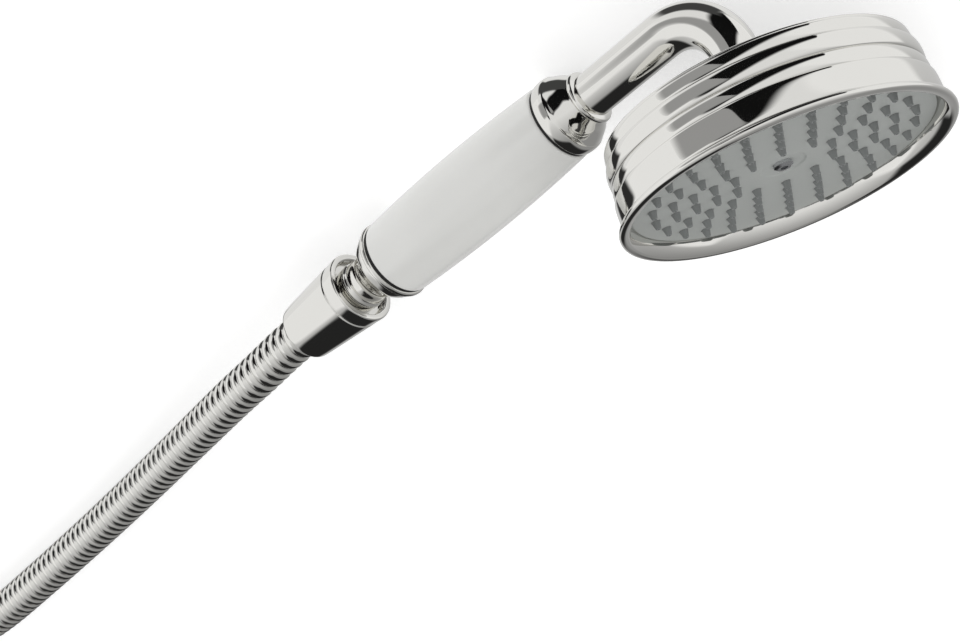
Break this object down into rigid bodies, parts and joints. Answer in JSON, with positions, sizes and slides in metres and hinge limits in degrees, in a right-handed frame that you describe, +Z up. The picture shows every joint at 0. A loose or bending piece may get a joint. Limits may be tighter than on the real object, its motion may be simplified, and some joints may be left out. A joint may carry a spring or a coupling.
{
  "type": "handheld shower head",
  "caption": "Traditional handheld shower head with a round spray face on a bent neck, a porcelain handle, and a metal hose with a conical nut.",
  "frame": {"origin": "on the surface the handset lies on, below the middle of its box without the hose", "axes": "+Z up; +X along the handle from the hose towards the head; +Y across, away from the spray face"},
  "size_m": [0.8321, 0.1264, 0.0882],
  "materials": {
    "chrome": "polished",
    "satin_metal": "satin",
    "silicone": "matte",
    "steel": "satin",
    "plastic": "matte",
    "rubber": "matte",
    "brass": "satin",
    "porcelain": "glossy",
    "hose_metal": "polished",
    "tie": "matte"
  },
  "bodies": {
    "handset": {"head_shell": "chrome", "spray_plate": "satin_metal", "nozzle_mat": "silicone", "centre_screw": "steel", "water_chamber": "plastic", "chamber_seal": "rubber", "neck_nut": "brass", "neck_washer": "rubber", "neck_tube": "chrome", "upper_ferrule": "chrome", "upper_gasket": "rubber", "porcelain_handle": "porcelain", "lower_gasket": "rubber", "lower_ferrule": "chrome", "inner_tube": "brass", "tube_seals": "rubber", "inlet_spigot": "chrome", "valve_body": "plastic", "valve_spring": "steel", "valve_seal": "rubber", "hose_washer": "rubber", "inlet_sieve": "steel", "nut_slip_ring": "plastic", "hose_insert": "brass", "hose_sleeve": "chrome", "hose_liner": "plastic", "hose_tube": "hose_metal", "hose_hank": "hose_metal", "hose_tail": "hose_metal", "hank_tie": "tie", "wall_sleeve": "chrome", "wall_liner": "plastic", "wall_insert": "brass", "wall_slip_ring": "plastic", "wall_washer": "rubber"},
    "valve_poppet": {"valve_poppet": "plastic"},
    "hose_nut": {"hose_nut": "chrome"},
    "wall_nut": {"wall_nut": "chrome"}
  },
  "joints": [
    {"name": "poppet_slide", "type": "slide", "parent": "handset", "child": "valve_poppet", "axis": [0.9995, 0, -0.0305], "range_m": [0, 0.002], "stiffness_N_per_m": 250, "springref_m": -0.001, "deforming": ["valve_spring"]},
    {"name": "hose_nut_spin", "type": "hinge", "parent": "handset", "child": "hose_nut", "pos_m": [-0.10622, 0.0316, 0.01702], "axis": [0.9995, 0, -0.0305], "continuous": true},
    {"name": "wall_nut_spin", "type": "hinge", "parent": "handset", "child": "wall_nut", "pos_m": [-0.691, 0.0152, 0.02875], "axis": [-1, 0, 0], "continuous": true}
  ]
}
